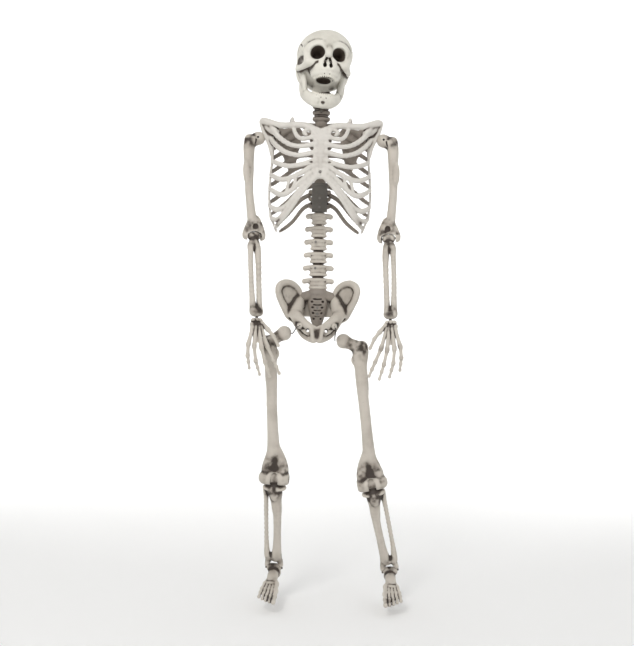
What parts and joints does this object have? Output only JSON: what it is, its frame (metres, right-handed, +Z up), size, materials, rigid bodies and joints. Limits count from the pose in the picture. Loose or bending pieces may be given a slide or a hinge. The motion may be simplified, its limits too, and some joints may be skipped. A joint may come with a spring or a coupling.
{
  "type": "halloween skeleton figure",
  "caption": "Life-size hanging skeleton figure with open jaw, turning head and jointed shoulders, elbows, wrists, hips, knees and ankles.",
  "frame": {"origin": "centre of the hanging hole in the lug behind the neck, on the top edge of the rear rib shell", "axes": "+Z up, +X to the left of the figure, -Y the way its chest faces; it hangs upright"},
  "size_m": [0.4965, 0.2259, 1.6787],
  "materials": {
    "skull_plastic": "warm white with brown wash",
    "rib_plastic": "off-white with brown wash",
    "limb_plastic": "aged grey-tan with brown wash",
    "cover_plastic": "grey-brown",
    "dark_plastic": "dark",
    "screw_steel": "dull",
    "pin_steel": "dull",
    "wire_steel": "dull grey"
  },
  "bodies": {
    "torso": {"rib_cage_front": "rib_plastic", "rib_cage_rear": "rib_plastic", "spine_cover": "cover_plastic", "breast_screw": "screw_steel", "spine_screws": "screw_steel", "lumbar_front": "limb_plastic", "lumbar_rear": "limb_plastic", "lumbar_screws": "screw_steel", "sacrum": "limb_plastic", "sacrum_screws": "screw_steel", "pelvis": "limb_plastic", "neck_pin": "pin_steel"},
    "neck": {"neck_front": "rib_plastic", "neck_rear": "rib_plastic", "neck_screw": "screw_steel", "neck_peg": "dark_plastic"},
    "skull": {"skull_face": "skull_plastic", "skull_rear": "skull_plastic", "jaw_pins": "pin_steel"},
    "jaw": {"mandible": "skull_plastic"},
    "shoulder_link_left": {"shoulder_link_left": "dark_plastic"},
    "upper_arm_left": {"humerus_left": "limb_plastic", "shoulder_pin_left": "pin_steel", "elbow_pin_left": "pin_steel"},
    "forearm_left": {"forearm_left": "limb_plastic"},
    "hand_left": {"hand_left": "limb_plastic", "wrist_peg_left": "dark_plastic"},
    "hip_wire_left": {"hip_wire_left": "wire_steel"},
    "thigh_left": {"femur_left": "limb_plastic", "knee_pin_left": "pin_steel"},
    "shin_left": {"shin_left": "limb_plastic", "ankle_pin_left": "pin_steel"},
    "foot_left": {"foot_left": "limb_plastic"},
    "shoulder_link_right": {"shoulder_link_right": "dark_plastic"},
    "upper_arm_right": {"humerus_right": "limb_plastic", "shoulder_pin_right": "pin_steel", "elbow_pin_right": "pin_steel"},
    "forearm_right": {"forearm_right": "limb_plastic"},
    "hand_right": {"hand_right": "limb_plastic", "wrist_peg_right": "dark_plastic"},
    "hip_wire_right": {"hip_wire_right": "wire_steel"},
    "thigh_right": {"femur_right": "limb_plastic", "knee_pin_right": "pin_steel"},
    "shin_right": {"shin_right": "limb_plastic", "ankle_pin_right": "pin_steel"},
    "foot_right": {"foot_right": "limb_plastic"}
  },
  "joints": [
    {"name": "neck_nod", "type": "hinge", "parent": "torso", "child": "neck", "pos_m": [0, -0.084, -0.006], "axis": [1, 0, 0], "range_deg": [0, 12]},
    {"name": "head_turn", "type": "hinge", "parent": "neck", "child": "skull", "pos_m": [0, -0.084, 0.134], "axis": [0.0642, 0.0443, 0.997], "range_deg": [-60, 50]},
    {"name": "jaw_open", "type": "hinge", "parent": "skull", "child": "jaw", "pos_m": [0.00157, -0.08509, 0.15401], "axis": [0.9879, 0.1388, -0.0698], "range_deg": [-19, 2]},
    {"name": "shoulder_swing_left", "type": "hinge", "parent": "torso", "child": "shoulder_link_left", "pos_m": [0.184, -0.098, -0.042], "axis": [-1, 0, 0], "range_deg": [-2, 150]},
    {"name": "shoulder_lift_left", "type": "hinge", "parent": "shoulder_link_left", "child": "upper_arm_left", "pos_m": [0.184, -0.098, -0.042], "axis": [0, -1, 0], "range_deg": [-2, 80]},
    {"name": "elbow_left", "type": "hinge", "parent": "upper_arm_left", "child": "forearm_left", "pos_m": [0.206, -0.106, -0.331], "axis": [-0.9741, 0.2115, -0.08], "range_deg": [-6, 95]},
    {"name": "wrist_turn_left", "type": "hinge", "parent": "forearm_left", "child": "hand_left", "pos_m": [0.21, -0.178, -0.57], "axis": [-0.016, 0.2884, 0.9574], "range_deg": [-5, 150]},
    {"name": "hip_spread_left", "type": "hinge", "parent": "torso", "child": "hip_wire_left", "pos_m": [0.05, -0.098, -0.592], "axis": [0, -1, 0], "range_deg": [-3, 28]},
    {"name": "hip_swing_left", "type": "hinge", "parent": "hip_wire_left", "child": "thigh_left", "pos_m": [0.079, -0.098, -0.635], "axis": [-1, 0, 0], "range_deg": [-40, 12]},
    {"name": "knee_left", "type": "hinge", "parent": "thigh_left", "child": "shin_left", "pos_m": [0.169, -0.133, -1.048], "axis": [0.9746, -0.0546, 0.217], "range_deg": [-18, 70]},
    {"name": "ankle_left", "type": "hinge", "parent": "shin_left", "child": "foot_left", "pos_m": [0.236, -0.038, -1.325], "axis": [-0.9746, 0.0546, -0.217], "range_deg": [-20, 11]},
    {"name": "shoulder_swing_right", "type": "hinge", "parent": "torso", "child": "shoulder_link_right", "pos_m": [-0.184, -0.098, -0.042], "axis": [-1, 0, 0], "range_deg": [-2, 150]},
    {"name": "shoulder_lift_right", "type": "hinge", "parent": "shoulder_link_right", "child": "upper_arm_right", "pos_m": [-0.184, -0.098, -0.042], "axis": [0, 1, 0], "range_deg": [-2, 80]},
    {"name": "elbow_right", "type": "hinge", "parent": "upper_arm_right", "child": "forearm_right", "pos_m": [-0.191, -0.106, -0.332], "axis": [-0.9394, -0.3414, 0.0321], "range_deg": [-6, 95]},
    {"name": "wrist_turn_right", "type": "hinge", "parent": "forearm_right", "child": "hand_right", "pos_m": [-0.173, -0.178, -0.571], "axis": [0.0719, -0.2877, -0.955], "range_deg": [-5, 150]},
    {"name": "hip_spread_right", "type": "hinge", "parent": "torso", "child": "hip_wire_right", "pos_m": [-0.05, -0.098, -0.592], "axis": [0, 1, 0], "range_deg": [-8, 20]},
    {"name": "hip_swing_right", "type": "hinge", "parent": "hip_wire_right", "child": "thigh_right", "pos_m": [-0.096, -0.098, -0.615], "axis": [-1, 0, 0], "range_deg": [-40, 12]},
    {"name": "knee_right", "type": "hinge", "parent": "thigh_right", "child": "shin_right", "pos_m": [-0.114, -0.133, -1.037], "axis": [0.9942, -0.1019, -0.034], "range_deg": [-18, 70]},
    {"name": "ankle_right", "type": "hinge", "parent": "shin_right", "child": "foot_right", "pos_m": [-0.114, -0.038, -1.322], "axis": [-0.9942, 0.1019, 0.034], "range_deg": [-20, 11]}
  ]
}
